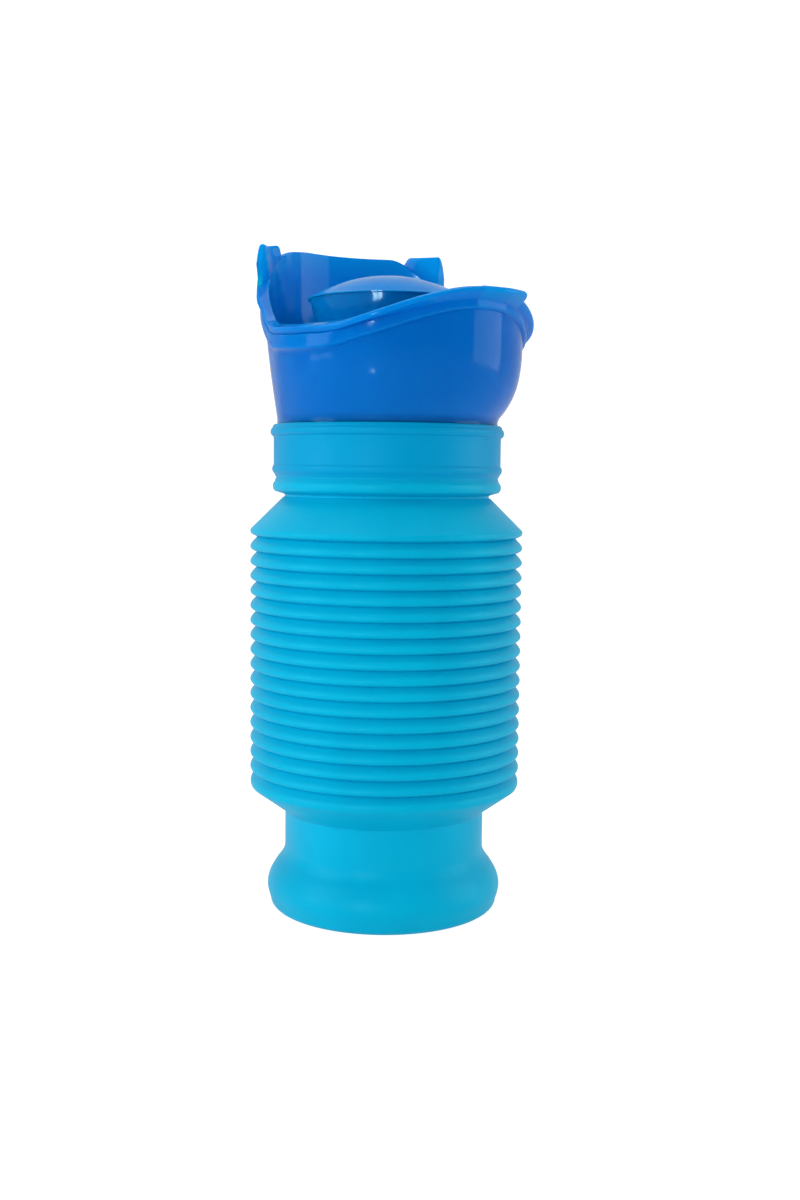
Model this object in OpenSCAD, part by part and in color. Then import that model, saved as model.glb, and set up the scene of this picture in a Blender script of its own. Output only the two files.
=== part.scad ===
// Collapsible travel urinal: a bellows bottle, a push-in hopper with a saddle-shaped rim,
// and a domed stopper that plugs the hopper's throat.
// Millimetres, +Z up, origin at the centre of the bottle's resting face.

/* [Bottle foot] */
// Height of the whole foot, from the floor to the lowest bellows valley
foot_h = 45.7; // [44:0.1:48]
// Radius of the plain tube above the flared heel
foot_tube_r = 33.3; // [31:0.1:34]
// Largest radius of the flared heel
heel_r = 39.1; // [37:0.1:40]

/* [Bellows] */
// Radius at the crest of each fold
crest_r = 45; // [43:0.1:46]
// Depth of each fold
fold_depth = 2.4; // [1.8:0.1:3]
// Height of one fold when the bottle stands open
fold_pitch = 4.87; // [4.6:0.01:5.1]
// Number of folds
folds = 16; // [12:1:18]
// Thickness of the blow-moulded wall, measured along the radius
wall = 1.25; // [1.1:0.05:1.4]

/* [Neck] */
// Radius of the waist between the shoulder and the neck
waist_r = 33.7; // [33.5:0.1:34.4]
// Outer radius of the plain neck band
band_r = 37.4; // [37.3:0.1:37.6]
// Height of the neck, from the waist to the top of the lip
neck_h = 23.1; // [22.5:0.1:24]

/* [Hopper] */
// Wall thickness of the hopper
hopper_wall = 1.6; // [1.2:0.1:2]
// Thickness of the turned-out lip
lip_t = 2; // [1.6:0.1:2.4]
// Height of the rim above the floor at its lowest points
dip_z = 190.8; // [188:0.1:193]
// How far the back of the rim stands above the dips
back_rise = 28.7; // [26:0.1:33]
// How far the front of the rim stands above the dips
front_rise = 6.6; // [4:0.1:9]
// Radius of the throat that the stopper plugs
throat_r = 21; // [19:0.1:22]

/* [Stopper] */
// Radius of the stopper's thin rim
stopper_rim_r = 26.4; // [25:0.1:27]
// Height of the stopper's rim above the floor
stopper_rim_z = 200.9; // [198:0.1:204]
// Rise of the domed cover above the rim
dome_h = 7.4; // [5:0.1:9]

/* [Hidden] */

bottle_blue = [0.02, 0.66, 0.86];
hopper_blue = [0.01, 0.36, 0.76];
seal_grey = [0.86, 0.88, 0.9];
round_fn = 120;

valley_r = crest_r - fold_depth;
bellows_top = foot_h + folds * fold_pitch;
shoulder_crest_z = bellows_top + 1.8;
waist_z = shoulder_crest_z + 11.6;
lip_z = waist_z + neck_h;
bore_r = band_r - wall;

// hopper
collar_r = bore_r - 0.12;
collar_in = collar_r - 3;
collar_foot = waist_z + 7.6;
wall_z = lip_z + 2;
wall_r = 34.6;
az_steps = 180;
back_az = 120;
front_az = 314;
lobe_az = 312;
egg_az = 320;
mouth_r = 36.6;
mouth_egg = 6.2;
lip_edge = 0.6;
floor_drop = 6;
throat_top = wall_z - floor_drop - 1;
throat_foot = waist_z + 8;
band_step = 1.2;
band_h = 7.6;
// the rim's three ears: first and last azimuth, reach beyond the mouth at each, top's height at each
ears = [[161, 177.5, 0.4, 2.1, 220, 219.2], [64, 82.6, 3.6, 3.6, 221, 221], [307, 332, 4, 6, 201.4, 201.4]];
ear_corner = 2.6;

// stopper
plug_r = throat_r - 0.08;
plug_foot = throat_foot + 0.5;
rest_z = throat_top + 0.05;
seal_clear = 0.03;

// ---------- shared functions ----------

// 1 below a, 0 beyond b, and an S-curve between them
function fall(d, a, b) = let (t = min(max((d - a) / (b - a), 0), 1)) 1 - t * t * (3 - 2 * t);

// smallest angle between two azimuths
function apart(a, b) = let (d = abs(a - b) % 360) min(d, 360 - d);

// points on an arc about (cx, cy), from angle a0 to a1
function arc(cx, cy, rx, ry, a0, a1, n) =
    [for (i = [0:n]) let (a = a0 + (a1 - a0) * i / n) [cx + rx * cos(a), cy + ry * sin(a)]];

// a smooth curve through points, for profiles: Catmull-Rom with n steps a span
function curve(p, n) = [
    for (i = [0:len(p) - 2], k = [0:n - 1])
        let (a = p[max(i - 1, 0)], b = p[i], c = p[i + 1], d = p[min(i + 2, len(p) - 1)], t = k / n)
            (2 * b + t * (c - a) + t * t * (2 * a - 5 * b + 4 * c - d)
             + t * t * t * (3 * b - a - 3 * c + d)) / 2,
    p[len(p) - 1]];

function flip(p) = [for (i = [len(p) - 1:-1:0]) p[i]];
function inset(p, d) = [for (q = p) [q[0] - d, q[1]]];

module spin(points) {
    rotate_extrude($fn = round_fn) polygon(points);
}

// ---------- bottle ----------

// one fold, from its lower valley to its upper one: a short steep underside and a long upper face
fold_steps = 8;
fold_skew = 0.62;
function fold_point(k, u) = [valley_r + fold_depth * sin(180 * pow(u, fold_skew)), foot_h + (k + u) * fold_pitch];

function bellows_side() = [
    for (k = [0:folds - 1], i = [0:fold_steps - 1]) fold_point(k, i / fold_steps),
    [valley_r, bellows_top]];

module bottle_bellows() {
    side = bellows_side();
    color(bottle_blue) spin(concat(side, flip(inset(side, wall))));
}

heel = [[heel_r - 1, 2.6], [heel_r, 6.6], [heel_r - 0.5, 10], [heel_r - 2.3, 13.4],
        [foot_tube_r + 1.2, 16.6], [foot_tube_r, 19.2]];
cone_foot_z = 32.6;
last_crest_z = 42.6;
groove_in = 11;
groove_out = 26;
groove_deep = 2.2;
floor_wall = 1.5;

function foot_side() = concat(
    arc(heel_r - 3.8, 2.6, 2.8, 2.6, -90, -15, 4),
    curve(heel, 4),
    arc(foot_tube_r + 1.4, cone_foot_z - 0.6, 1.4, 1.4, 180, 130, 3),
    arc(crest_r - 2, last_crest_z - 0.4, 1.9, 2.2, -38, 50, 6),
    [[valley_r, foot_h]]);

// thickens the steep cone, where the wall is measured slantwise
function lift(z) = z < cone_foot_z ? 0 : 0.35 * (foot_h - z) / (foot_h - cone_foot_z);

module bottle_base() {
    side = foot_side();
    n = len(side);
    color(bottle_blue) spin(concat(
        [[0, 0], [groove_in, 0]],
        arc(groove_in + 3, groove_deep - 1.1, 1.6, 1.1, 170, 100, 3),
        arc(groove_out - 3, groove_deep - 1.1, 1.6, 1.1, 80, 10, 3),
        [[groove_out, 0]],
        side,
        flip([for (i = [5:n - 1]) side[i] + [-wall, lift(side[i][1])]]),
        [[heel_r - 5.2, 1.9], [groove_out + 0.8, 1.9], [groove_out - 2.2, groove_deep + floor_wall],
         [groove_in + 2.2, groove_deep + floor_wall], [groove_in - 0.8, floor_wall], [0, floor_wall]]));
}

module bottle_neck() {
    z = waist_z;
    top = lip_z;
    bead = 2.9;
    outer = concat(
        [[valley_r, bellows_top]],
        arc(crest_r - 1.5, shoulder_crest_z, 1.5, 1.35, -70, 50, 6),
        [[waist_r + 0.8, z - 0.7]],
        arc(waist_r + 0.9, z, 0.9, 0.7, 200, 110, 3),
        arc(band_r - 1.2, z + 3.1, 1.5, 1.9, -65, 60, 6),
        arc(band_r + 0.1, z + 5.9, 0.9, 0.7, 220, 140, 3),
        arc(band_r - 1.2, z + 8.7, 1.7, 1.8, -50, 45, 6),
        [[band_r, z + 11.2], [band_r, top - 4.6]],
        arc(band_r - 0.2, top - bead + 0.5, 1.25, 1.5, -75, 60, 6),
        [[band_r + 0.3, top - 0.5], [band_r - 0.2, top]]);
    inner = concat(
        [[bore_r + 0.2, top], [bore_r, top - 0.5], [bore_r, z + 10.9]],
        arc(band_r - 1.2 - wall, z + 8.7, 1.6, 1.7, 45, -50, 5),
        arc(band_r - wall - 0.1, z + 5.9, 0.9, 0.6, 140, 220, 3),
        arc(band_r - 1.2 - wall, z + 3.3, 1.4, 1.6, 50, -50, 5),
        [[waist_r - wall + 0.2, z + 1.2], [waist_r - wall, z + 0.3], [waist_r - wall + 0.2, z - 0.9]],
        arc(crest_r - 1.9 - wall, shoulder_crest_z - 0.1, 1.4, 1.1, 50, -60, 5),
        [[valley_r - wall, bellows_top]]);
    color(bottle_blue) spin(concat(outer, inner));
}

// ---------- hopper ----------

// how far the rim sinks below its plain saddle: beside the two back ears and in the left dip
function sag(a) = fall(apart(a, 164), 6, 26) + 2.2 * fall(apart(a, 72), 0, 20)
    + 0.9 * fall(apart(a, 235), 5, 28);
function mouth_z(a) = dip_z + back_rise * fall(apart(a, back_az), 31, 92)
    + front_rise * fall(apart(a, front_az), 0, 66) - sag(a);
function swell(a) = 1.7 * fall(apart(a, 176), 5, 26);
function mouth_radius(a) = mouth_r + mouth_egg * (1 + cos(a - egg_az)) / 2 + swell(a);

// 0 along the plain back edge, 1 where the lip is turned out
function lipped(a) = 1 - fall(apart(a, back_az), 43, 50);
// 1 on the front lobe, where the lip flares upwards, 0 where it droops
function flared(a) = fall(apart(a, lobe_az), 10, 75);
function lip_slope(a) = lipped(a) * (-24 + 69 * flared(a));
function lip_width(a) = hopper_wall + 0.2 + lipped(a)
    * (4.2 - 0.4 * fall(apart(a, lobe_az), 0, 120) - 0.9 * fall(apart(a, 345), 0, 35)
       - 2.4 * fall(apart(a, 215), 20, 50) + 0.4 * fall(apart(a, 187), 0, 7));

// an ear's outline along the rim: 1 on its flat top, 0 outside it, a rounded corner between
function corner(t) = t <= 0 ? 0 : t >= 1 ? 1 : sqrt(1 - (1 - t) * (1 - t));
function ear(a, e) = corner(min(a - e[0], e[1] - a) / ear_corner);
function ear_tip(a, e) =
    [e[3], e[5]] + ([e[2], e[4]] - [e[3], e[5]]) * fall(a - e[0], 0, 0.6 * (e[1] - e[0]));

// the lip's free edge at one azimuth, as [radius, height], with the ears worked in
function lip_edge_at(a) =
    let (m = [mouth_radius(a), mouth_z(a)],
         s = lip_slope(a),
         plain = m + lip_width(a) * [cos(s), sin(s)],
         e = a < 120 ? ears[1] : a < 240 ? ears[0] : ears[2])
        plain + ear(a, e) * ([m[0], 0] + ear_tip(a, e) - plain);

// inner wall radius at height z: nearly a cone at the back left, bulging under the front lobe
function wall_radius(a, z) =
    let (t = min(max((z - wall_z) / (mouth_z(a) - wall_z), 0), 1),
         bulge = 2.5 + 1.5 * cos(a - egg_az))
        wall_r + (mouth_radius(a) - wall_r) * (1 - pow(1 - t, bulge));

inner_steps = 6;
outer_steps = 6;
function hopper_section(a) =
    let (m = [mouth_radius(a), mouth_z(a)],
         e = lip_edge_at(a),
         w = norm(e - m),
         d = (e - m) / w,
         n = [d[1], -d[0]],
         band = band_step * lipped(a),
         band_out = m[0] + hopper_wall + band,
         root = min(max((hopper_wall + band - lip_t * d[1]) / max(d[0], 0.15), 0.3), 0.8 * w),
         under = m + root * d + lip_t * n,
         band_top = under[1] - 0.6,
         band_foot = m[1] - band_h + 5 * flared(a))
        concat(
            [for (i = [0:inner_steps - 1])
                let (z = wall_z - 1.2 + (m[1] - lip_edge - wall_z + 1.2) * i / (inner_steps - 1))
                    [wall_radius(a, z), z]],
            [m + [0.25, -0.15], m + min(0.9, 0.3 * w) * d,
             e - 0.7 * d, e - 0.15 * d + 0.3 * n, e + 0.5 * lip_t * n + 0.1 * d,
             e - 0.15 * d + (lip_t - 0.3) * n, e - 0.7 * d + lip_t * n,
             under, [band_out, band_top], [band_out, band_foot], [band_out - 0.5 * band, band_foot - 0.5]],
            [for (i = [0:outer_steps - 1])
                let (z = band_foot - 1.2 + (wall_z - 1.2 - band_foot + 1.2) * i / (outer_steps - 1))
                    [wall_radius(a, z) + hopper_wall, z]]);

module hopper_shell() {
    rings = [for (k = [0:az_steps - 1]) hopper_section(k * 360 / az_steps)];
    m = len(rings[0]);
    points = [
        for (k = [0:az_steps - 1], p = rings[k])
            let (a = k * 360 / az_steps) [p[0] * cos(a), p[0] * sin(a), p[1]]];
    faces = [
        for (k = [0:az_steps - 1], i = [0:m - 1])
            let (k2 = (k + 1) % az_steps, i2 = (i + 1) % m)
                each [[k * m + i, k2 * m + i2, k * m + i2], [k * m + i, k2 * m + i, k2 * m + i2]]];
    polyhedron(points, faces);
}

seal_z = waist_z + 15.4;
seal_section = 1;
seal_ring_r = bore_r - seal_clear - seal_section;
groove_r = seal_ring_r - seal_section - seal_clear;
groove_half = 1.15;

module hopper_foot() {
    step = 0.8;
    spin([
        [wall_r - step, wall_z], [wall_r - step, wall_z - 1.8],
        [throat_r + 1.5, throat_top + 1], [throat_r + 0.6, throat_top], [throat_r, throat_top - 0.6],
        [throat_r, throat_foot], [throat_r + 1.6, throat_foot], [throat_r + 1.6, throat_top - 1.4],
        [collar_in - 0.6, wall_z - 3.6], [collar_in, wall_z - 4.6],
        [collar_in, collar_foot], [collar_r - 0.5, collar_foot], [collar_r, collar_foot + 0.6],
        [collar_r, seal_z - groove_half], [groove_r, seal_z - groove_half],
        [groove_r, seal_z + groove_half], [collar_r, seal_z + groove_half],
        [collar_r, lip_z + 0.1], [wall_r + hopper_wall + step, lip_z + 0.1],
        [wall_r + hopper_wall + step, wall_z]]);
}

module hopper() {
    color(hopper_blue) union() {
        hopper_shell();
        hopper_foot();
    }
}

module seal_ring(ring_r, section, z) {
    color(seal_grey) translate([0, 0, z])
        rotate_extrude($fn = round_fn) translate([ring_r, 0]) circle(r = section, $fn = 24);
}

module hopper_seal() {
    seal_ring(seal_ring_r, seal_section, seal_z);
}

// ---------- stopper ----------

plug_seal_z = throat_foot + 6;
plug_seal_r = throat_r - seal_clear - seal_section;
plug_groove_r = plug_seal_r - seal_section - seal_clear;
knob_r = 25.6;
stopper_wall = 1.6;
cover_z = stopper_rim_z - 0.6;

module stopper_body() {
    outer = concat(
        [[plug_r - 0.8, plug_foot], [plug_r, plug_foot + 0.8],
         [plug_r, plug_seal_z - groove_half], [plug_groove_r, plug_seal_z - groove_half],
         [plug_groove_r, plug_seal_z + groove_half], [plug_r, plug_seal_z + groove_half],
         [plug_r, rest_z], [throat_r + 1.9, rest_z + 1.7]],
        curve([[throat_r + 1.9, rest_z + 2.6], [throat_r - 1.5, rest_z + 4.4], [throat_r - 4.2, rest_z + 10],
               [throat_r - 3.4, rest_z + 20], [throat_r + 0.4, rest_z + 30.5], [knob_r - 1.2, cover_z - 5],
               [knob_r, cover_z]], 3));
    inner = concat(
        [[knob_r - stopper_wall, cover_z], [knob_r - stopper_wall, cover_z - 3.2]],
        flip(curve([[plug_groove_r - 1.5, plug_seal_z + 1.5], [plug_groove_r - 1.5, rest_z + 1.5],
                    [throat_r - 6, rest_z + 8], [throat_r - 5.9, rest_z + 14],
                    [throat_r - 4.9, rest_z + 21], [throat_r - 1.2, rest_z + 31],
                    [knob_r - stopper_wall - 1.3, cover_z - 5.5]], 3)),
        [[plug_groove_r - 1.5, plug_foot]]);
    color(hopper_blue) spin(concat(outer, inner));
}

module stopper_cover() {
    spigot_r = knob_r - stopper_wall - 0.02;
    base = stopper_rim_r - 0.5;
    cap_r = (base * base + dome_h * dome_h) / (2 * dome_h);
    half = asin(base / cap_r);
    top_z = stopper_rim_z + dome_h;
    color(hopper_blue) spin(concat(
        [[stopper_rim_r - 0.7, cover_z], [stopper_rim_r - 0.2, cover_z + 0.2],
         [stopper_rim_r, cover_z + 0.5]],
        arc(0, top_z - cap_r, cap_r, cap_r, 90 - half, 90, 14),
        arc(0, top_z - cap_r, cap_r - stopper_wall, cap_r - stopper_wall, 90, 90 - half + 7, 10),
        [[spigot_r - 1.6, cover_z - 2.6], [spigot_r - 0.3, cover_z - 2.6], [spigot_r, cover_z - 2.2],
         [spigot_r, cover_z]]));
}

module stopper_seal() {
    seal_ring(plug_seal_r, seal_section, plug_seal_z);
}

bottle_base();
bottle_bellows();
bottle_neck();
hopper();
hopper_seal();
stopper_body();
stopper_cover();
stopper_seal();
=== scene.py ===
import math

import bpy
from mathutils import Matrix, Vector


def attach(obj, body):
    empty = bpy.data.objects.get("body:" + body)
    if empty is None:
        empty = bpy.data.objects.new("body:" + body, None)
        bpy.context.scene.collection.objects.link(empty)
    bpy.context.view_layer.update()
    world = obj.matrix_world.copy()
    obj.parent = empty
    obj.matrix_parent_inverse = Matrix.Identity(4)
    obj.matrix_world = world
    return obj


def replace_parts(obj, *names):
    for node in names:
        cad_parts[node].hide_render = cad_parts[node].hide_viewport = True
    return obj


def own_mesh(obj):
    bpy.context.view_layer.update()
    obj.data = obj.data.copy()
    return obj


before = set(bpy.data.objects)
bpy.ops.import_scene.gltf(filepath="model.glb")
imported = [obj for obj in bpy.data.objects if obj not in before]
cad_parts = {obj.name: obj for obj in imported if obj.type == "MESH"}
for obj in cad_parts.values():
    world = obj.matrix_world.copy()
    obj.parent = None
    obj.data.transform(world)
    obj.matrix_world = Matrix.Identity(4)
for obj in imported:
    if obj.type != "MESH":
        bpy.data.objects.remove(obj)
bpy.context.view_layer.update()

# Lengths are in millimetres and are turned to metres when a mesh is made.
# Those of the floor, the lights, the camera and the materials are in metres from the start.
MM = 0.001

# ---------- sizes shared with the CAD ----------

FOOT_H = 45.7
FOOT_TUBE_R = 33.3
HEEL_R = 39.1
HEEL_EDGE_Z = 2.6
LAST_CREST_Z = 42.6
CONE_FOOT_Z = 32.6
FLOOR_WALL = 1.5
GROOVE_FROM_R = 11
GROOVE_TO_R = 26
GROOVE_DEEP = 2.2
CREST_R = 45.0
FOLD_DEPTH = 2.4
FOLD_PITCH = 4.87
FOLDS = 16
WALL = 1.25
WAIST_R = 33.7
BAND_R = 37.4
NECK_H = 23.1
HOPPER_WALL = 1.6
LIP_THICK = 2.0
DIP_Z = 190.8
BACK_RISE = 28.7
FRONT_RISE = 6.6
THROAT_R = 21.0
STOPPER_RIM_R = 26.4
STOPPER_RIM_Z = 200.9
DOME_H = 7.4

VALLEY_R = CREST_R - FOLD_DEPTH
BELLOWS_TOP = FOOT_H + FOLDS * FOLD_PITCH
SHOULDER_CREST_Z = BELLOWS_TOP + 1.8
WAIST_Z = SHOULDER_CREST_Z + 11.6
LIP_Z = WAIST_Z + NECK_H
BORE_R = BAND_R - WALL
FOLD_SKEW = 0.62

COLLAR_R = BORE_R - 0.12
COLLAR_IN = COLLAR_R - 3
COLLAR_FOOT = WAIST_Z + 7.6
WALL_Z = LIP_Z + 2
WALL_R = 34.6
BACK_AZ = 120
FRONT_AZ = 314
LOBE_AZ = 312
EGG_AZ = 320
MOUTH_R = 36.6
MOUTH_EGG = 6.2
LIP_EDGE = 0.6
THROAT_TOP = WALL_Z - 7
THROAT_FOOT = WAIST_Z + 8
BAND_STEP = 1.2
BAND_H = 7.6
# Of every ear: first and last azimuth, reach beyond the mouth at each, height of the top at each.
EARS = [
    (161, 177.5, 0.4, 2.1, 220, 219.2),
    (64, 82.6, 3.6, 3.6, 221, 221),
    (307, 332, 4, 6, 201.4, 201.4),
]
EAR_CORNER = 2.6
# Angles from the rim's high back and high front at which each starts to sink and is down.
BACK_SPREAD = (31, 92)
FRONT_SPREAD = (0, 66)
# Of every dip in the rim: azimuth, depth, and the angles to each side where it fades.
DIPS = [(164, 1, 6, 26), (72, 2.2, 0, 20), (235, 0.9, 5, 28)]
# The mouth is a little wider about this azimuth.
SWELL = 1.7
SWELL_AZ = 176
SWELL_SPREAD = (5, 26)
# Angles from the back at which the plain edge ends and the turned-out lip is whole.
PLAIN_EDGE = (43, 50)
# Angles from the front lobe between which the lip turns from flaring up to drooping, in degrees.
FLARE_SPREAD = (10, 75)
LIP_DROOP = 24
LIP_FLARE = 69
LIP_REACH = 4.2
# Of every stretch with another lip width: azimuth, how much narrower, and where it fades.
TRIMS = [(LOBE_AZ, 0.4, 0, 120), (345, 0.9, 0, 35), (215, 2.4, 20, 50), (187, -0.4, 0, 7)]
WALL_BULGE = 2.5
WALL_BULGE_EGG = 1.5

PLUG_R = THROAT_R - 0.08
PLUG_FOOT = THROAT_FOOT + 0.5
REST_Z = THROAT_TOP + 0.05
SEAL_SECTION = 1.0
SEAL_CLEAR = 0.03
GROOVE_HALF = 1.15
SEAL_Z = WAIST_Z + 15.4
SEAL_RING_R = BORE_R - SEAL_CLEAR - SEAL_SECTION
GROOVE_R = SEAL_RING_R - SEAL_SECTION - SEAL_CLEAR
PLUG_SEAL_Z = THROAT_FOOT + 6
PLUG_GROOVE_R = THROAT_R - 2 * SEAL_CLEAR - 2 * SEAL_SECTION
KNOB_R = 25.6
STOPPER_WALL = 1.6
COVER_Z = STOPPER_RIM_Z - 0.6


# ---------- curves ----------


def fall(value, start, end):
    """1 below start, 0 beyond end, and an S-curve between them."""
    t = min(max((value - start) / (end - start), 0), 1)
    return 1 - t * t * (3 - 2 * t)


def apart(a, b):
    """Smallest angle between two azimuths."""
    d = abs(a - b) % 360
    return min(d, 360 - d)


def arc(cx, cz, rx, rz, start, end, n):
    """Points along part of an ellipse, n steps from one angle in degrees to another."""
    out = []
    for i in range(n + 1):
        a = math.radians(start + (end - start) * i / n)
        out.append((cx + rx * math.cos(a), cz + rz * math.sin(a)))
    return out


def curve(points, n):
    """A smooth curve through points, n steps a span."""
    last = len(points) - 1
    out = []
    for i in range(last):
        a, b = points[max(i - 1, 0)], points[i]
        c, d = points[i + 1], points[min(i + 2, last)]
        for k in range(n):
            t = k / n
            out.append(tuple(
                (2 * b[j] + t * (c[j] - a[j]) + t * t * (2 * a[j] - 5 * b[j] + 4 * c[j] - d[j])
                 + t ** 3 * (3 * b[j] - a[j] - 3 * c[j] + d[j])) / 2
                for j in (0, 1)
            ))
    out.append(tuple(points[-1]))
    return out


def rounded(points, radius, n=4):
    """Rounds the corners of an open line: each corner becomes a short curve."""
    out = [points[0]]
    for a, b, c in zip(points, points[1:], points[2:]):
        ab, bc = math.dist(a, b), math.dist(b, c)
        r = min(radius, 0.45 * ab, 0.45 * bc)
        start = [b[j] + (a[j] - b[j]) * r / ab for j in (0, 1)]
        end = [b[j] + (c[j] - b[j]) * r / bc for j in (0, 1)]
        for k in range(n + 1):
            t = k / n
            out.append(tuple(
                (1 - t) ** 2 * start[j] + 2 * t * (1 - t) * b[j] + t * t * end[j] for j in (0, 1)
            ))
    out.append(points[-1])
    return out


# ---------- mesh makers ----------

# How many steps go once round a turned piece, and round the hopper's bowl.
TURN_STEPS = 240
BOWL_STEPS = 720


def finish_mesh(name, verts, faces, body, sharp=38):
    """Makes a smooth piece that rides on a body, with edges sharper than sharp degrees kept."""
    mesh = bpy.data.meshes.new(name)
    mesh.from_pydata(verts, [], faces)
    mesh.validate()
    mesh.polygons.foreach_set("use_smooth", [True] * len(mesh.polygons))
    mesh.set_sharp_from_angle(angle=math.radians(sharp))
    obj = bpy.data.objects.new(name, mesh)
    bpy.context.collection.objects.link(obj)
    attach(obj, body)
    return obj


def set_amounts(obj, layer_name, amounts):
    """Stores one number from 0 to 1 at each vertex, for a material to read."""
    layer = obj.data.attributes.new(layer_name, "FLOAT", "POINT")
    layer.data.foreach_set("value", amounts)


def ring_faces(rings, points):
    """Quads between neighbouring closed sections, each of the same number of points."""
    faces = []
    for ring in range(rings):
        here = ring * points
        there = (ring + 1) % rings * points
        for i in range(points):
            j = (i + 1) % points
            faces.append((here + j, there + j, there + i, here + i))
    return faces


def revolve(name, profile, body, wobble=None, sharp=38):
    """Turns a closed profile of (radius, height) about the axis. Points on the axis become one.

    wobble adds a little to the radius, worked out from the angle and the radius.
    """
    verts, faces, index = [], [], []
    for k in range(TURN_STEPS):
        a = 2 * math.pi * k / TURN_STEPS
        row = []
        for r, z in profile:
            if r < 1e-6 and k:
                row.append(index[0][len(row)])
                continue
            w = r + (wobble(a, r) if wobble and r > 1e-6 else 0)
            row.append(len(verts))
            verts.append((w * math.cos(a) * MM, w * math.sin(a) * MM, z * MM))
        index.append(row)
    n = len(profile)
    for k in range(TURN_STEPS):
        here, there = index[k], index[(k + 1) % TURN_STEPS]
        for i in range(n):
            j = (i + 1) % n
            loop = []
            for v in (here[i], there[i], there[j], here[j]):
                if v not in loop:
                    loop.append(v)
            if len(loop) > 2:
                faces.append(tuple(loop))
    return finish_mesh(name, verts, faces, body, sharp)


# ---------- materials ----------


def srgb(r, g, b):
    """A colour of 0 to 255 a channel, as the shaders take it."""
    def linear(v):
        v = v / 255
        return v / 12.92 if v <= 0.04045 else ((v + 0.055) / 1.055) ** 2.4

    return (linear(r), linear(g), linear(b), 1)


class Nodes:
    """A material whose nodes are short to write."""

    def __init__(self, name):
        self.material = bpy.data.materials.new(name)
        self.material.use_nodes = True
        self.tree = self.material.node_tree
        self.shader = self.tree.nodes["Principled BSDF"]

    def add(self, kind, settings=None, **inputs):
        node = self.tree.nodes.new(kind)
        for key, value in (settings or {}).items():
            setattr(node, key, value)
        for key, value in inputs.items():
            socket = node.inputs[int(key[1:])] if key[0] == "i" and key[1:].isdigit() else node.inputs[key]
            self.put(socket, value)
        return node

    def put(self, socket, value):
        if isinstance(value, bpy.types.NodeSocket):
            self.tree.links.new(value, socket)
        else:
            socket.default_value = value

    def noise(self, scale, detail=3.0, rough=0.5, stretch=None):
        coords = self.add("ShaderNodeTexCoord").outputs["Object"]
        if stretch:
            coords = self.add("ShaderNodeMapping", i0=coords, Scale=stretch).outputs[0]
        node = self.add("ShaderNodeTexNoise", Vector=coords, Scale=scale, Detail=detail, Roughness=rough)
        return node.outputs[0]

    def span(self, value, low, high, to_low, to_high):
        node = self.add("ShaderNodeMapRange", i0=value, i1=low, i2=high, i3=to_low, i4=to_high)
        return node.outputs[0]

    def mix(self, factor, first, second):
        node = self.add("ShaderNodeMix", {"data_type": "RGBA"})
        self.put(node.inputs[0], factor)
        self.put(node.inputs[6], first)
        self.put(node.inputs[7], second)
        return node.outputs[2]

    def bump(self, *layers):
        """Stacks bump layers, each (height, strength, distance)."""
        normal = None
        for height, strength, distance in layers:
            node = self.add("ShaderNodeBump", Height=height, Strength=strength, Distance=distance)
            if normal:
                self.put(node.inputs["Normal"], normal)
            normal = node.outputs[0]
        self.put(self.shader.inputs["Normal"], normal)


def bottle_plastic():
    """Satin blow-moulded polyethylene: faint orange peel, slow thickness mottling, fine scuffs, and painted
    shade on the neck band where the hopper's collar sits inside.
    """
    m = Nodes("bottle_plastic")
    mottle = m.noise(38, 4, 0.55, (1, 1, 0.5))
    colour = m.mix(m.span(mottle, 0.3, 0.7, 0, 1), srgb(0, 172, 213), srgb(0, 182, 221))
    # Painted shade: the neck band, from the hopper collar's foot up to the lip, is painted darker.
    painted_collar_shade = m.add("ShaderNodeAttribute", {"attribute_name": "painted_collar_shade"}).outputs["Fac"]
    colour = m.mix(painted_collar_shade, colour, srgb(0, 156, 208))
    scuff = m.noise(900, 5, 0.65, (1, 1, 0.12))
    m.put(m.shader.inputs["Base Color"], colour)
    m.put(m.shader.inputs["Roughness"], m.span(scuff, 0.3, 0.75, 0.34, 0.46))
    m.put(m.shader.inputs["Specular IOR Level"], 0.13)
    m.put(m.shader.inputs["Specular Tint"], (0.3, 0.9, 1, 1))
    m.bump((m.noise(1400, 2, 0.5), 0.12, 0.00012), (m.noise(160, 3, 0.5), 0.2, 0.0004))
    return m.material


def hopper_plastic():
    """Glossy injection-moulded plastic with painted light: paler towards the thin edges, as if light shone
    through them, and with less subsurface where it is paler.
    """
    m = Nodes("hopper_plastic")
    thin = m.add("ShaderNodeAttribute", {"attribute_name": "thin"}).outputs["Fac"]
    flow = m.noise(30, 3, 0.5, (1, 1, 0.35))
    deep = m.mix(m.span(flow, 0.3, 0.7, 0, 1), srgb(0, 98, 184), srgb(0, 107, 194))
    # Painted light: the blue turns paler where the mask says light shines through the plastic.
    colour = m.mix(thin, deep, srgb(0, 148, 232))
    m.put(m.shader.inputs["Base Color"], colour)
    fine = m.noise(1100, 4, 0.6)
    m.put(m.shader.inputs["Roughness"], m.span(fine, 0.3, 0.8, 0.07, 0.15))
    m.put(m.shader.inputs["Specular IOR Level"], 0.12)
    m.put(m.shader.inputs["Specular Tint"], (0.5, 0.85, 1, 1))
    m.put(m.shader.inputs["Subsurface Weight"], m.span(thin, 0.1, 0.7, 1.0, 0.0))
    m.put(m.shader.inputs["Subsurface Radius"], (0.2, 2.3, 2.3))
    m.put(m.shader.inputs["Subsurface Scale"], 0.003)
    m.bump((m.noise(42, 2, 0.5), 0.25, 0.0012), (m.noise(900, 2, 0.5), 0.03, 0.0001))
    return m.material


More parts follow.
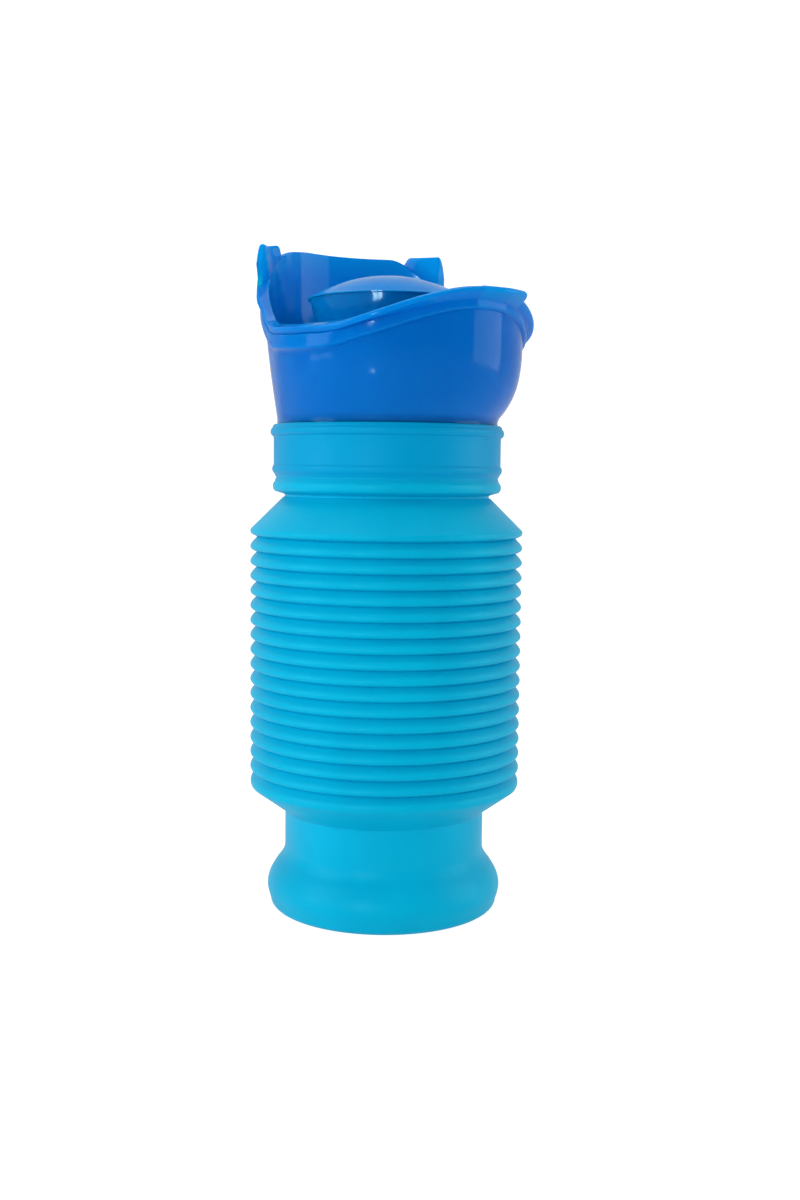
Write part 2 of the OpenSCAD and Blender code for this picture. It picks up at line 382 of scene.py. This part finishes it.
def seal_rubber():
    """Soft milky silicone with a faint dusting."""
    m = Nodes("seal_rubber")
    dust = m.noise(700, 4, 0.6)
    m.put(m.shader.inputs["Base Color"], m.mix(dust, srgb(214, 220, 226), srgb(236, 240, 243)))
    m.put(m.shader.inputs["Roughness"], m.span(dust, 0.3, 0.7, 0.5, 0.68))
    m.bump((m.noise(1500, 3, 0.5), 0.2, 0.0001))
    return m.material


BOTTLE = bottle_plastic()
HOPPER = hopper_plastic()
SEAL = seal_rubber()


def paint(obj, material):
    """Gives the whole object one material."""
    obj.data.materials.clear()
    obj.data.materials.append(material)
    return obj


# ---------- bottle ----------


def parting_line(a, r):
    """The mould's parting line: two faint ridges down the bottle's sides."""
    off = min(abs(math.sin(a - math.radians(35))) * r, 3)
    return -0.05 + 0.05 * math.exp(-((off / 0.35) ** 2))


def lift(z):
    """Raises the inside of the sloping cone, so that its wall doesn't thin out."""
    return 0 if z < CONE_FOOT_Z else 0.35 * (FOOT_H - z) / (FOOT_H - CONE_FOOT_Z)


def base_profile():
    """The stiff foot: grooved bottom, heel, tube and the cone up to the first fold."""
    heel = [(HEEL_R - 1, HEEL_EDGE_Z), (HEEL_R, 6.6), (HEEL_R - 0.5, 10), (HEEL_R - 2.3, 13.4),
            (FOOT_TUBE_R + 1.2, 16.6), (FOOT_TUBE_R + 0.15, 19.2), (FOOT_TUBE_R, 21.8)]
    edge = arc(HEEL_R - 3.8, HEEL_EDGE_Z, 2.8, HEEL_EDGE_Z, -90, -15, 10)
    side = curve(heel, 10)
    side += [(FOOT_TUBE_R, 21 + k * 1.6) for k in range(1, 6)]
    side += arc(FOOT_TUBE_R + 1.4, CONE_FOOT_Z - 0.6, 1.4, 1.4, 180, 130, 8)
    side += arc(CREST_R - 2, LAST_CREST_Z - 0.4, 1.9, 2.2, -38, 50, 14)
    side += [(VALLEY_R, FOOT_H)]

    corner_r, corner_z = 1.6, 1.1
    outer = [(0, 0), (GROOVE_FROM_R, 0)]
    outer += arc(GROOVE_FROM_R + 3, GROOVE_DEEP - corner_z, corner_r, corner_z, 170, 100, 6)
    outer += arc(GROOVE_TO_R - 3, GROOVE_DEEP - corner_z, corner_r, corner_z, 80, 10, 6)
    outer += [(GROOVE_TO_R, 0)] + edge + side

    over_groove = GROOVE_DEEP + FLOOR_WALL
    heel_floor = 1.9
    inner = [(r - WALL, z + lift(z)) for r, z in side][::-1]
    inner += [(HEEL_R - 5.2, heel_floor), (GROOVE_TO_R + 0.8, heel_floor), (GROOVE_TO_R - 2.2, over_groove),
              (GROOVE_FROM_R + 2.2, over_groove), (GROOVE_FROM_R - 0.8, FLOOR_WALL), (0, FLOOR_WALL)]
    return outer + inner


def bellows_profile():
    """The folding zone: each fold is a sine hump whose crest sits a little below its middle."""
    steps = 14
    side = []
    for k in range(FOLDS):
        for i in range(steps):
            u = i / steps
            bulge = FOLD_DEPTH * math.sin(math.pi * u ** FOLD_SKEW)
            side.append((VALLEY_R + bulge, FOOT_H + (k + u) * FOLD_PITCH))
    side.append((VALLEY_R, BELLOWS_TOP))
    return side + [(r - WALL, z) for r, z in side][::-1]


def neck_profile():
    """Shoulder, waist and the neck with its two beads and its rolled lip."""
    z, top = WAIST_Z, LIP_Z
    bead = 2.9
    outer = [(VALLEY_R, BELLOWS_TOP)]
    outer += arc(CREST_R - 1.5, SHOULDER_CREST_Z, 1.5, 1.35, -70, 50, 14)
    outer += [(WAIST_R + 0.8, z - 0.7)]
    outer += arc(WAIST_R + 0.9, z, 0.9, 0.7, 200, 110, 8)
    outer += arc(BAND_R - 1.2, z + 3.1, 1.5, 1.9, -65, 60, 14)
    outer += arc(BAND_R + 0.1, z + 5.9, 0.9, 0.7, 220, 140, 8)
    outer += arc(BAND_R - 1.2, z + 8.7, 1.7, 1.8, -50, 45, 14)
    outer += [(BAND_R, z + 11.2), (BAND_R, top - 4.6)]
    outer += arc(BAND_R - 0.2, top - bead + 0.5, 1.25, 1.5, -75, 60, 14)
    outer += [(BAND_R + 0.3, top - 0.5), (BAND_R - 0.2, top)]
    inner = [(BORE_R + 0.2, top), (BORE_R, top - 0.5), (BORE_R, z + 10.9)]
    inner += arc(BAND_R - 1.2 - WALL, z + 8.7, 1.6, 1.7, 45, -50, 8)
    inner += arc(BAND_R - WALL - 0.1, z + 5.9, 0.9, 0.6, 140, 220, 6)
    inner += arc(BAND_R - 1.2 - WALL, z + 3.3, 1.4, 1.6, 50, -50, 8)
    inner += [(WAIST_R - WALL + 0.2, z + 1.2), (WAIST_R - WALL, z + 0.3), (WAIST_R - WALL + 0.2, z - 0.9)]
    inner += arc(CREST_R - 1.9 - WALL, SHOULDER_CREST_Z - 0.1, 1.4, 1.1, 50, -60, 8)
    inner += [(VALLEY_R - WALL, BELLOWS_TOP)]
    return outer + inner


base = revolve("bottle_base_skin", base_profile(), "base", wobble=parting_line)
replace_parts(paint(base, BOTTLE), "bottle_base")
bellows = revolve("bottle_bellows_skin", bellows_profile(), "base", wobble=parting_line)
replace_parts(paint(bellows, BOTTLE), "bottle_bellows")
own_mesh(bellows)
neck = revolve("bottle_neck_skin", neck_profile(), "neck", wobble=parting_line)
# Marks the neck from the hopper collar's foot upwards for the painted shade on its band.
set_amounts(neck, "painted_collar_shade", [fall(COLLAR_FOOT * MM - v.co.z, 0, 0.004) for v in neck.data.vertices])
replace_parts(paint(neck, BOTTLE), "bottle_neck")


# ---------- hopper ----------

# Points up the inside and down the outside of the bowl's wall in one section.
INNER_POINTS = 26
OUTER_POINTS = 22
LIP_ROUNDING = 0.95
# How far below the rim the painted light shining through the wall starts.
GLOW_DEPTH = 12


def stretches(a, rows):
    """The sum at one azimuth of rows of (azimuth, amount, where it starts and ends to fade)."""
    return sum(amount * fall(apart(a, az), near, far) for az, amount, near, far in rows)


def mouth_z(a):
    """Height of the rim's inner edge at an azimuth: high at the back, lower at the front lobe."""
    back = BACK_RISE * fall(apart(a, BACK_AZ), *BACK_SPREAD)
    front = FRONT_RISE * fall(apart(a, FRONT_AZ), *FRONT_SPREAD)
    return DIP_Z + back + front - stretches(a, DIPS)


def mouth_radius(a):
    """Radius of the rim's inner edge, egg-shaped towards the front lobe."""
    swell = SWELL * fall(apart(a, SWELL_AZ), *SWELL_SPREAD)
    return MOUTH_R + MOUTH_EGG * (1 + math.cos(math.radians(a - EGG_AZ))) / 2 + swell


def lipped(a):
    """0 along the plain back edge, 1 where the lip is turned out."""
    return 1 - fall(apart(a, BACK_AZ), *PLAIN_EDGE)


def flared(a):
    """1 on the front lobe, where the lip flares upwards, 0 where it droops."""
    return fall(apart(a, LOBE_AZ), *FLARE_SPREAD)


def lip_slope(a):
    """How steeply the lip rises outwards, in radians."""
    return math.radians(lipped(a) * (LIP_FLARE * flared(a) - LIP_DROOP))


def lip_width(a):
    """Width of the lip across its top, from the mouth to its free edge."""
    return HOPPER_WALL + 0.2 + (LIP_REACH - stretches(a, TRIMS)) * lipped(a)


def ear_share(a, ear):
    """An ear's outline along the rim: 1 on its flat top, 0 outside it, a rounded corner between."""
    t = min(a - ear[0], ear[1] - a) / EAR_CORNER
    return math.sqrt(1 - (1 - min(t, 1)) ** 2) if t > 0 else 0


def ear_tip(a, ear):
    """Reach beyond the mouth and height of an ear's free edge."""
    first = fall(a - ear[0], 0, 0.6 * (ear[1] - ear[0]))
    return ear[3] + (ear[2] - ear[3]) * first, ear[5] + (ear[4] - ear[5]) * first


def lip_edge_at(a):
    """The lip's free edge at one azimuth as (radius, height), with the ears worked in."""
    rim_r, rim_z = mouth_radius(a), mouth_z(a)
    slope, width = lip_slope(a), lip_width(a)
    r, z = rim_r + width * math.cos(slope), rim_z + width * math.sin(slope)
    share, ear = max((ear_share(a, e), e) for e in EARS)
    reach, top = ear_tip(a, ear)
    return r + share * (rim_r + reach - r), z + share * (top - z), share


def wall_radius(a, z):
    """Inside radius of the bowl's wall, which bulges more towards the front lobe."""
    t = min(max((z - WALL_Z) / (mouth_z(a) - WALL_Z), 0), 1)
    bulge = WALL_BULGE + WALL_BULGE_EGG * math.cos(math.radians(a - EGG_AZ))
    return WALL_R + (mouth_radius(a) - WALL_R) * (1 - (1 - t) ** bulge)


def hopper_section(a):
    """One closed section of the hopper's wall and lip, with the painted light that shines through it there.
    """
    rim = (mouth_radius(a), mouth_z(a))
    edge_r, edge_z, ear = lip_edge_at(a)
    edge = (edge_r, edge_z)
    width = math.dist(rim, edge)
    along = ((edge_r - rim[0]) / width, (edge_z - rim[1]) / width)
    down = (along[1], -along[0])

    def at(origin, forward, below):
        """A point so far along the lip from an origin, and so far below its top."""
        return (origin[0] + forward * along[0] + below * down[0],
                origin[1] + forward * along[1] + below * down[1])

    band = BAND_STEP * lipped(a)
    band_out = rim[0] + HOPPER_WALL + band
    root = (HOPPER_WALL + band - LIP_THICK * along[1]) / max(along[0], 0.15)
    root = min(max(root, 0.3), 0.8 * width)
    under = at(rim, root, LIP_THICK)
    band_top = under[1] - 0.6
    band_foot = rim[1] - BAND_H + 5 * flared(a)
    lip_line = [at(rim, 0, 0), at(rim, 0.5 * width, 0), edge, at(edge, 0, LIP_THICK), under,
                (band_out, band_top), (band_out, band_foot), (band_out - band, band_foot - 0.6)]

    points, thin = [], []
    inner_top, inner_foot = rim[1] - LIP_EDGE, WALL_Z - 1.2
    for i in range(INNER_POINTS):
        z = inner_foot + (inner_top - inner_foot) * i / (INNER_POINTS - 1)
        points.append((wall_radius(a, z), z))
        # Painted light: the inner wall gets paler towards the rim.
        thin.append(0.9 * max(0, (z - rim[1] + GLOW_DEPTH) / GLOW_DEPTH) ** 1.5)

    lip = rounded([points[-1]] + lip_line, LIP_ROUNDING, 7)[1:]
    points += lip
    reach = max(edge_r - rim[0], 1)
    # Painted light: the lip gets paler out towards its free edge, most on the ears, and where it rises
    # above the mouth.
    for r, z in lip:
        out = min(max((r - rim[0] - 1.2) / reach, 0), 1)
        up = min(max((z - rim[1]) / 6, 0), 1)
        thin.append(min(1, 0.08 + 0.92 * max(out * (0.35 + 0.65 * ear), up)))

    outer_top, outer_foot = band_foot - 1.4, LIP_Z + 0.1
    for i in range(OUTER_POINTS):
        z = outer_top + (outer_foot - outer_top) * i / (OUTER_POINTS - 1)
        points.append((wall_radius(a, z) + HOPPER_WALL, z))
        thin.append(0)
    return points, thin


def hopper_bowl():
    """The bowl with its lip and ears, one closed section after another round the axis."""
    verts, thin = [], []
    for k in range(BOWL_STEPS):
        a = 360 * k / BOWL_STEPS
        points, amounts = hopper_section(a)
        c, s = math.cos(math.radians(a)), math.sin(math.radians(a))
        verts += [(r * c * MM, r * s * MM, z * MM) for r, z in points]
        thin += amounts
    faces = ring_faces(BOWL_STEPS, len(points))
    obj = finish_mesh("hopper_bowl", verts, faces, "hopper", 50)
    # Stores the painted light that shines through, for the material to read.
    set_amounts(obj, "thin", thin)
    return obj


def hopper_foot_profile():
    """The funnel floor, the throat and the collar with the seal's groove."""
    step = 0.8
    line = [(WALL_R - step, WALL_Z), (WALL_R - step, WALL_Z - 1.8),
            (THROAT_R + 1.5, THROAT_TOP + 1), (THROAT_R + 0.6, THROAT_TOP), (THROAT_R, THROAT_TOP - 0.6),
            (THROAT_R, THROAT_FOOT), (THROAT_R + 1.6, THROAT_FOOT), (THROAT_R + 1.6, THROAT_TOP - 1.4),
            (COLLAR_IN - 0.6, WALL_Z - 3.6), (COLLAR_IN, WALL_Z - 4.6),
            (COLLAR_IN, COLLAR_FOOT), (COLLAR_R - 0.5, COLLAR_FOOT), (COLLAR_R, COLLAR_FOOT + 0.6),
            (COLLAR_R, SEAL_Z - GROOVE_HALF), (GROOVE_R, SEAL_Z - GROOVE_HALF),
            (GROOVE_R, SEAL_Z + GROOVE_HALF), (COLLAR_R, SEAL_Z + GROOVE_HALF),
            (COLLAR_R, LIP_Z + 0.1), (WALL_R + 0.5 * HOPPER_WALL, LIP_Z + 0.4),
            (WALL_R + 0.5 * HOPPER_WALL, WALL_Z)]
    return rounded(line, 0.25, 3)


bowl = hopper_bowl()
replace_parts(paint(bowl, HOPPER), "hopper")
foot = revolve("hopper_foot", hopper_foot_profile(), "hopper", sharp=30)
paint(foot, HOPPER)


# ---------- stopper ----------


def stopper_body_profile():
    """The plug with the seal's groove, and the waisted hollow grip above it."""
    outer = [(PLUG_R - 0.8, PLUG_FOOT), (PLUG_R, PLUG_FOOT + 0.8),
             (PLUG_R, PLUG_SEAL_Z - GROOVE_HALF), (PLUG_GROOVE_R, PLUG_SEAL_Z - GROOVE_HALF),
             (PLUG_GROOVE_R, PLUG_SEAL_Z + GROOVE_HALF), (PLUG_R, PLUG_SEAL_Z + GROOVE_HALF),
             (PLUG_R, REST_Z), (THROAT_R + 1.9, REST_Z + 1.7)]
    grip = [(THROAT_R + 1.9, REST_Z + 2.6), (THROAT_R - 1.5, REST_Z + 4.4), (THROAT_R - 4.2, REST_Z + 10),
            (THROAT_R - 3.4, REST_Z + 20), (THROAT_R + 0.4, REST_Z + 30.5),
            (KNOB_R - 1.2, COVER_Z - 5), (KNOB_R, COVER_Z)]
    plug_in = PLUG_GROOVE_R - 1.5
    land_r = KNOB_R - STOPPER_WALL
    hollow = [(plug_in, PLUG_SEAL_Z + 1.5), (plug_in, REST_Z + 1.5),
              (THROAT_R - 6, REST_Z + 8), (THROAT_R - 5.9, REST_Z + 14), (THROAT_R - 4.9, REST_Z + 21),
              (THROAT_R - 1.2, REST_Z + 31), (land_r - 1.3, COVER_Z - 5.5)]
    land = [(land_r, COVER_Z), (land_r, COVER_Z - 3.2)]
    return outer + curve(grip, 10) + land + curve(hollow, 6)[::-1] + [(plug_in, PLUG_FOOT)]


def stopper_cover_profile():
    """The domed cover and the short spigot that holds it in the grip."""
    spigot = KNOB_R - STOPPER_WALL - 0.02
    base_r = STOPPER_RIM_R - 0.5
    cap_r = (base_r * base_r + DOME_H * DOME_H) / (2 * DOME_H)
    half = math.degrees(math.asin(base_r / cap_r))
    top = STOPPER_RIM_Z + DOME_H
    rim = rounded([(spigot, COVER_Z), (STOPPER_RIM_R, COVER_Z), (STOPPER_RIM_R, COVER_Z + 0.5),
                   (base_r, STOPPER_RIM_Z)], 0.5, 6)
    dome = arc(0, top - cap_r, cap_r, cap_r, 90 - half, 90, 40)[1:]
    under = arc(0, top - cap_r, cap_r - STOPPER_WALL, cap_r - STOPPER_WALL, 90, 90 - half + 7, 16)
    foot_z = COVER_Z - 2.6
    return rim + dome + under + [(spigot - 1.6, foot_z), (spigot - 0.3, foot_z), (spigot, COVER_Z - 2.2)]


# How much painted light shines through the grip's and the dome's plastic, as on the hopper's lip.
GRIP_GLOW = 0.3
DOME_GLOW = 0.5

body = revolve("stopper_grip", stopper_body_profile(), "stopper", sharp=30)
# Painted light: the grip and the dome are painted evenly paler.
set_amounts(body, "thin", [GRIP_GLOW] * len(body.data.vertices))
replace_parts(paint(body, HOPPER), "stopper_body")
cover = revolve("stopper_dome", stopper_cover_profile(), "stopper", sharp=30)
set_amounts(cover, "thin", [DOME_GLOW] * len(cover.data.vertices))
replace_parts(paint(cover, HOPPER), "stopper_cover")

for name in ("hopper_seal", "stopper_seal"):
    paint(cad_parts[name], SEAL)


# ---------- floor, light and camera ----------


def stage_material():
    """Pale matt paint that glows a little, more so to the camera than to the object."""
    m = Nodes("stage_white")
    grain = m.noise(3, 2, 0.5)
    m.put(m.shader.inputs["Base Color"], m.mix(grain, (0.33, 0.33, 0.34, 1), (0.37, 0.37, 0.38, 1)))
    m.put(m.shader.inputs["Roughness"], 0.9)
    m.put(m.shader.inputs["Specular IOR Level"], 0.1)
    m.put(m.shader.inputs["Emission Color"], (1, 1, 1, 1))
    seen = m.add("ShaderNodeLightPath").outputs["Is Camera Ray"]
    m.put(m.shader.inputs["Emission Strength"], m.span(seen, 0, 1, 0.42, 0.9))
    return m.material


def backdrop():
    """A pale floor that curves up into a wall behind the object."""
    reach, bend_y, bend_r, wall_top = 4.0, 0.9, 0.6, 2.2
    line = [(-reach, 0.0)]
    line += arc(bend_y, bend_r, bend_r, bend_r, -90, 0, 15)
    line += [(bend_y + bend_r, wall_top)]
    verts = [(x, y, z) for y, z in line for x in (-reach, reach)]
    faces = [(2 * i, 2 * i + 1, 2 * i + 3, 2 * i + 2) for i in range(len(line) - 1)]
    mesh = bpy.data.meshes.new("backdrop")
    mesh.from_pydata(verts, [], faces)
    mesh.polygons.foreach_set("use_smooth", [True] * len(mesh.polygons))
    obj = bpy.data.objects.new("backdrop", mesh)
    bpy.context.collection.objects.link(obj)
    mesh.materials.append(stage_material())


def area_light(name, place, target, size, power):
    """A lit panel that the camera doesn't see, turned to its target."""
    data = bpy.data.lights.new(name, "AREA")
    data.shape = "RECTANGLE"
    data.size, data.size_y = size
    data.energy = power
    obj = bpy.data.objects.new(name, data)
    bpy.context.collection.objects.link(obj)
    direction = Vector(target) - Vector(place)
    obj.rotation_euler = direction.to_track_quat("-Z", "Y").to_euler()
    obj.location = place
    obj.visible_camera = False
    return obj


def sky(strength):
    """A dim sky for light, and plain white wherever the camera looks past the floor."""
    world = bpy.data.worlds.new("studio")
    bpy.context.scene.world = world
    world.use_nodes = True
    tree = world.node_tree
    coords = tree.nodes.new("ShaderNodeTexCoord")
    split = tree.nodes.new("ShaderNodeSeparateXYZ")
    tree.links.new(coords.outputs["Generated"], split.inputs[0])
    ramp = tree.nodes.new("ShaderNodeValToRGB")
    ramp.color_ramp.elements[0].color = (0.42, 0.45, 0.52, 1)
    ramp.color_ramp.elements[1].color = (1, 1, 1, 1)
    spread = tree.nodes.new("ShaderNodeMapRange")
    spread.inputs[1].default_value = -0.6
    spread.inputs[2].default_value = 0.9
    tree.links.new(split.outputs[2], spread.inputs[0])
    tree.links.new(spread.outputs[0], ramp.inputs[0])
    back = tree.nodes["Background"]
    tree.links.new(ramp.outputs[0], back.inputs[0])
    back.inputs[1].default_value = strength
    plain = tree.nodes.new("ShaderNodeBackground")
    plain.inputs[0].default_value = (1, 1, 1, 1)
    seen = tree.nodes.new("ShaderNodeLightPath").outputs["Is Camera Ray"]
    choose = tree.nodes.new("ShaderNodeMixShader")
    tree.links.new(seen, choose.inputs[0])
    tree.links.new(back.outputs[0], choose.inputs[1])
    tree.links.new(plain.outputs[0], choose.inputs[2])
    tree.links.new(choose.outputs[0], tree.nodes["World Output"].inputs[0])


def window(name, place, target, pane, gap, power, lit=()):
    """Four lit panes like a crossed window's.

    They light everything, or with lit they only show as a reflection in those objects.
    """
    lit_set = bpy.data.collections.new(name) if lit else None
    for obj in lit:
        lit_set.objects.link(obj)
    for column in (-1, 1):
        for row in (-1, 1):
            side = column * (pane[0] + gap) / 2
            rise = row * (pane[1] + gap) / 2
            spot = (place[0] + side, place[1], place[2] + rise)
            aim = (target[0] + side, target[1], target[2] + rise)
            lamp = area_light(f"{name}_{column + 1}{row + 1}", spot, aim, pane, power)
            if lit:
                lamp.visible_diffuse = False
                lamp.light_linking.receiver_collection = lit_set


SKY_STRENGTH = 0.26
# What the lights aim at: the bottle's middle and the hopper's mouth.
MIDDLE = (0, 0, 0.12)
MOUTH = (0, 0, 0.19)

backdrop()
sky(SKY_STRENGTH)
window("window_far", (-0.42, -1.15, 0.42), MIDDLE, pane=(0.05, 0.09), gap=0.015, power=1.1)
window("window_low", (-0.12, -0.44, 0.2), MOUTH, pane=(0.05, 0.15), gap=0.02, power=1.5, lit=(body, cover))
window("window_lip", (-0.15, -0.44, 0.035), MOUTH, pane=(0.012, 0.008), gap=0.008, power=0.02)

area_light("key_left", (-1.0, -0.4, 0.45), MIDDLE, size=(0.5, 0.8), power=5.2)
area_light("fill_right", (1.1, 0.0, 0.35), MIDDLE, size=(0.7, 0.9), power=5.6)
area_light("top", (0, 0.1, 1.3), MIDDLE, size=(1.0, 1.0), power=8.2)

# Where the camera stands, in metres, and how it leans, in degrees.
CAMERA_DISTANCE = 0.455
CAMERA_HEIGHT = 0.1457
CAMERA_SIDE = 0.0047
CAMERA_PITCH = 5.42
CAMERA_ROLL = 0.6
LENS_MM = 41.13
SENSOR_MM = 36.0

lens = bpy.data.cameras.new("photo_camera")
lens.sensor_fit = "VERTICAL"
lens.sensor_height = SENSOR_MM
lens.lens = LENS_MM
lens.clip_start = 0.01
camera = bpy.data.objects.new("photo_camera", lens)
bpy.context.collection.objects.link(camera)
tilt = Matrix.Rotation(math.radians(90 - CAMERA_PITCH), 3, "X")
camera.rotation_euler = (tilt @ Matrix.Rotation(math.radians(CAMERA_ROLL), 3, "Z")).to_euler()
camera.location = (CAMERA_SIDE, -CAMERA_DISTANCE, CAMERA_HEIGHT)
bpy.context.scene.camera = camera
bpy.context.scene.view_settings.view_transform = "Standard"
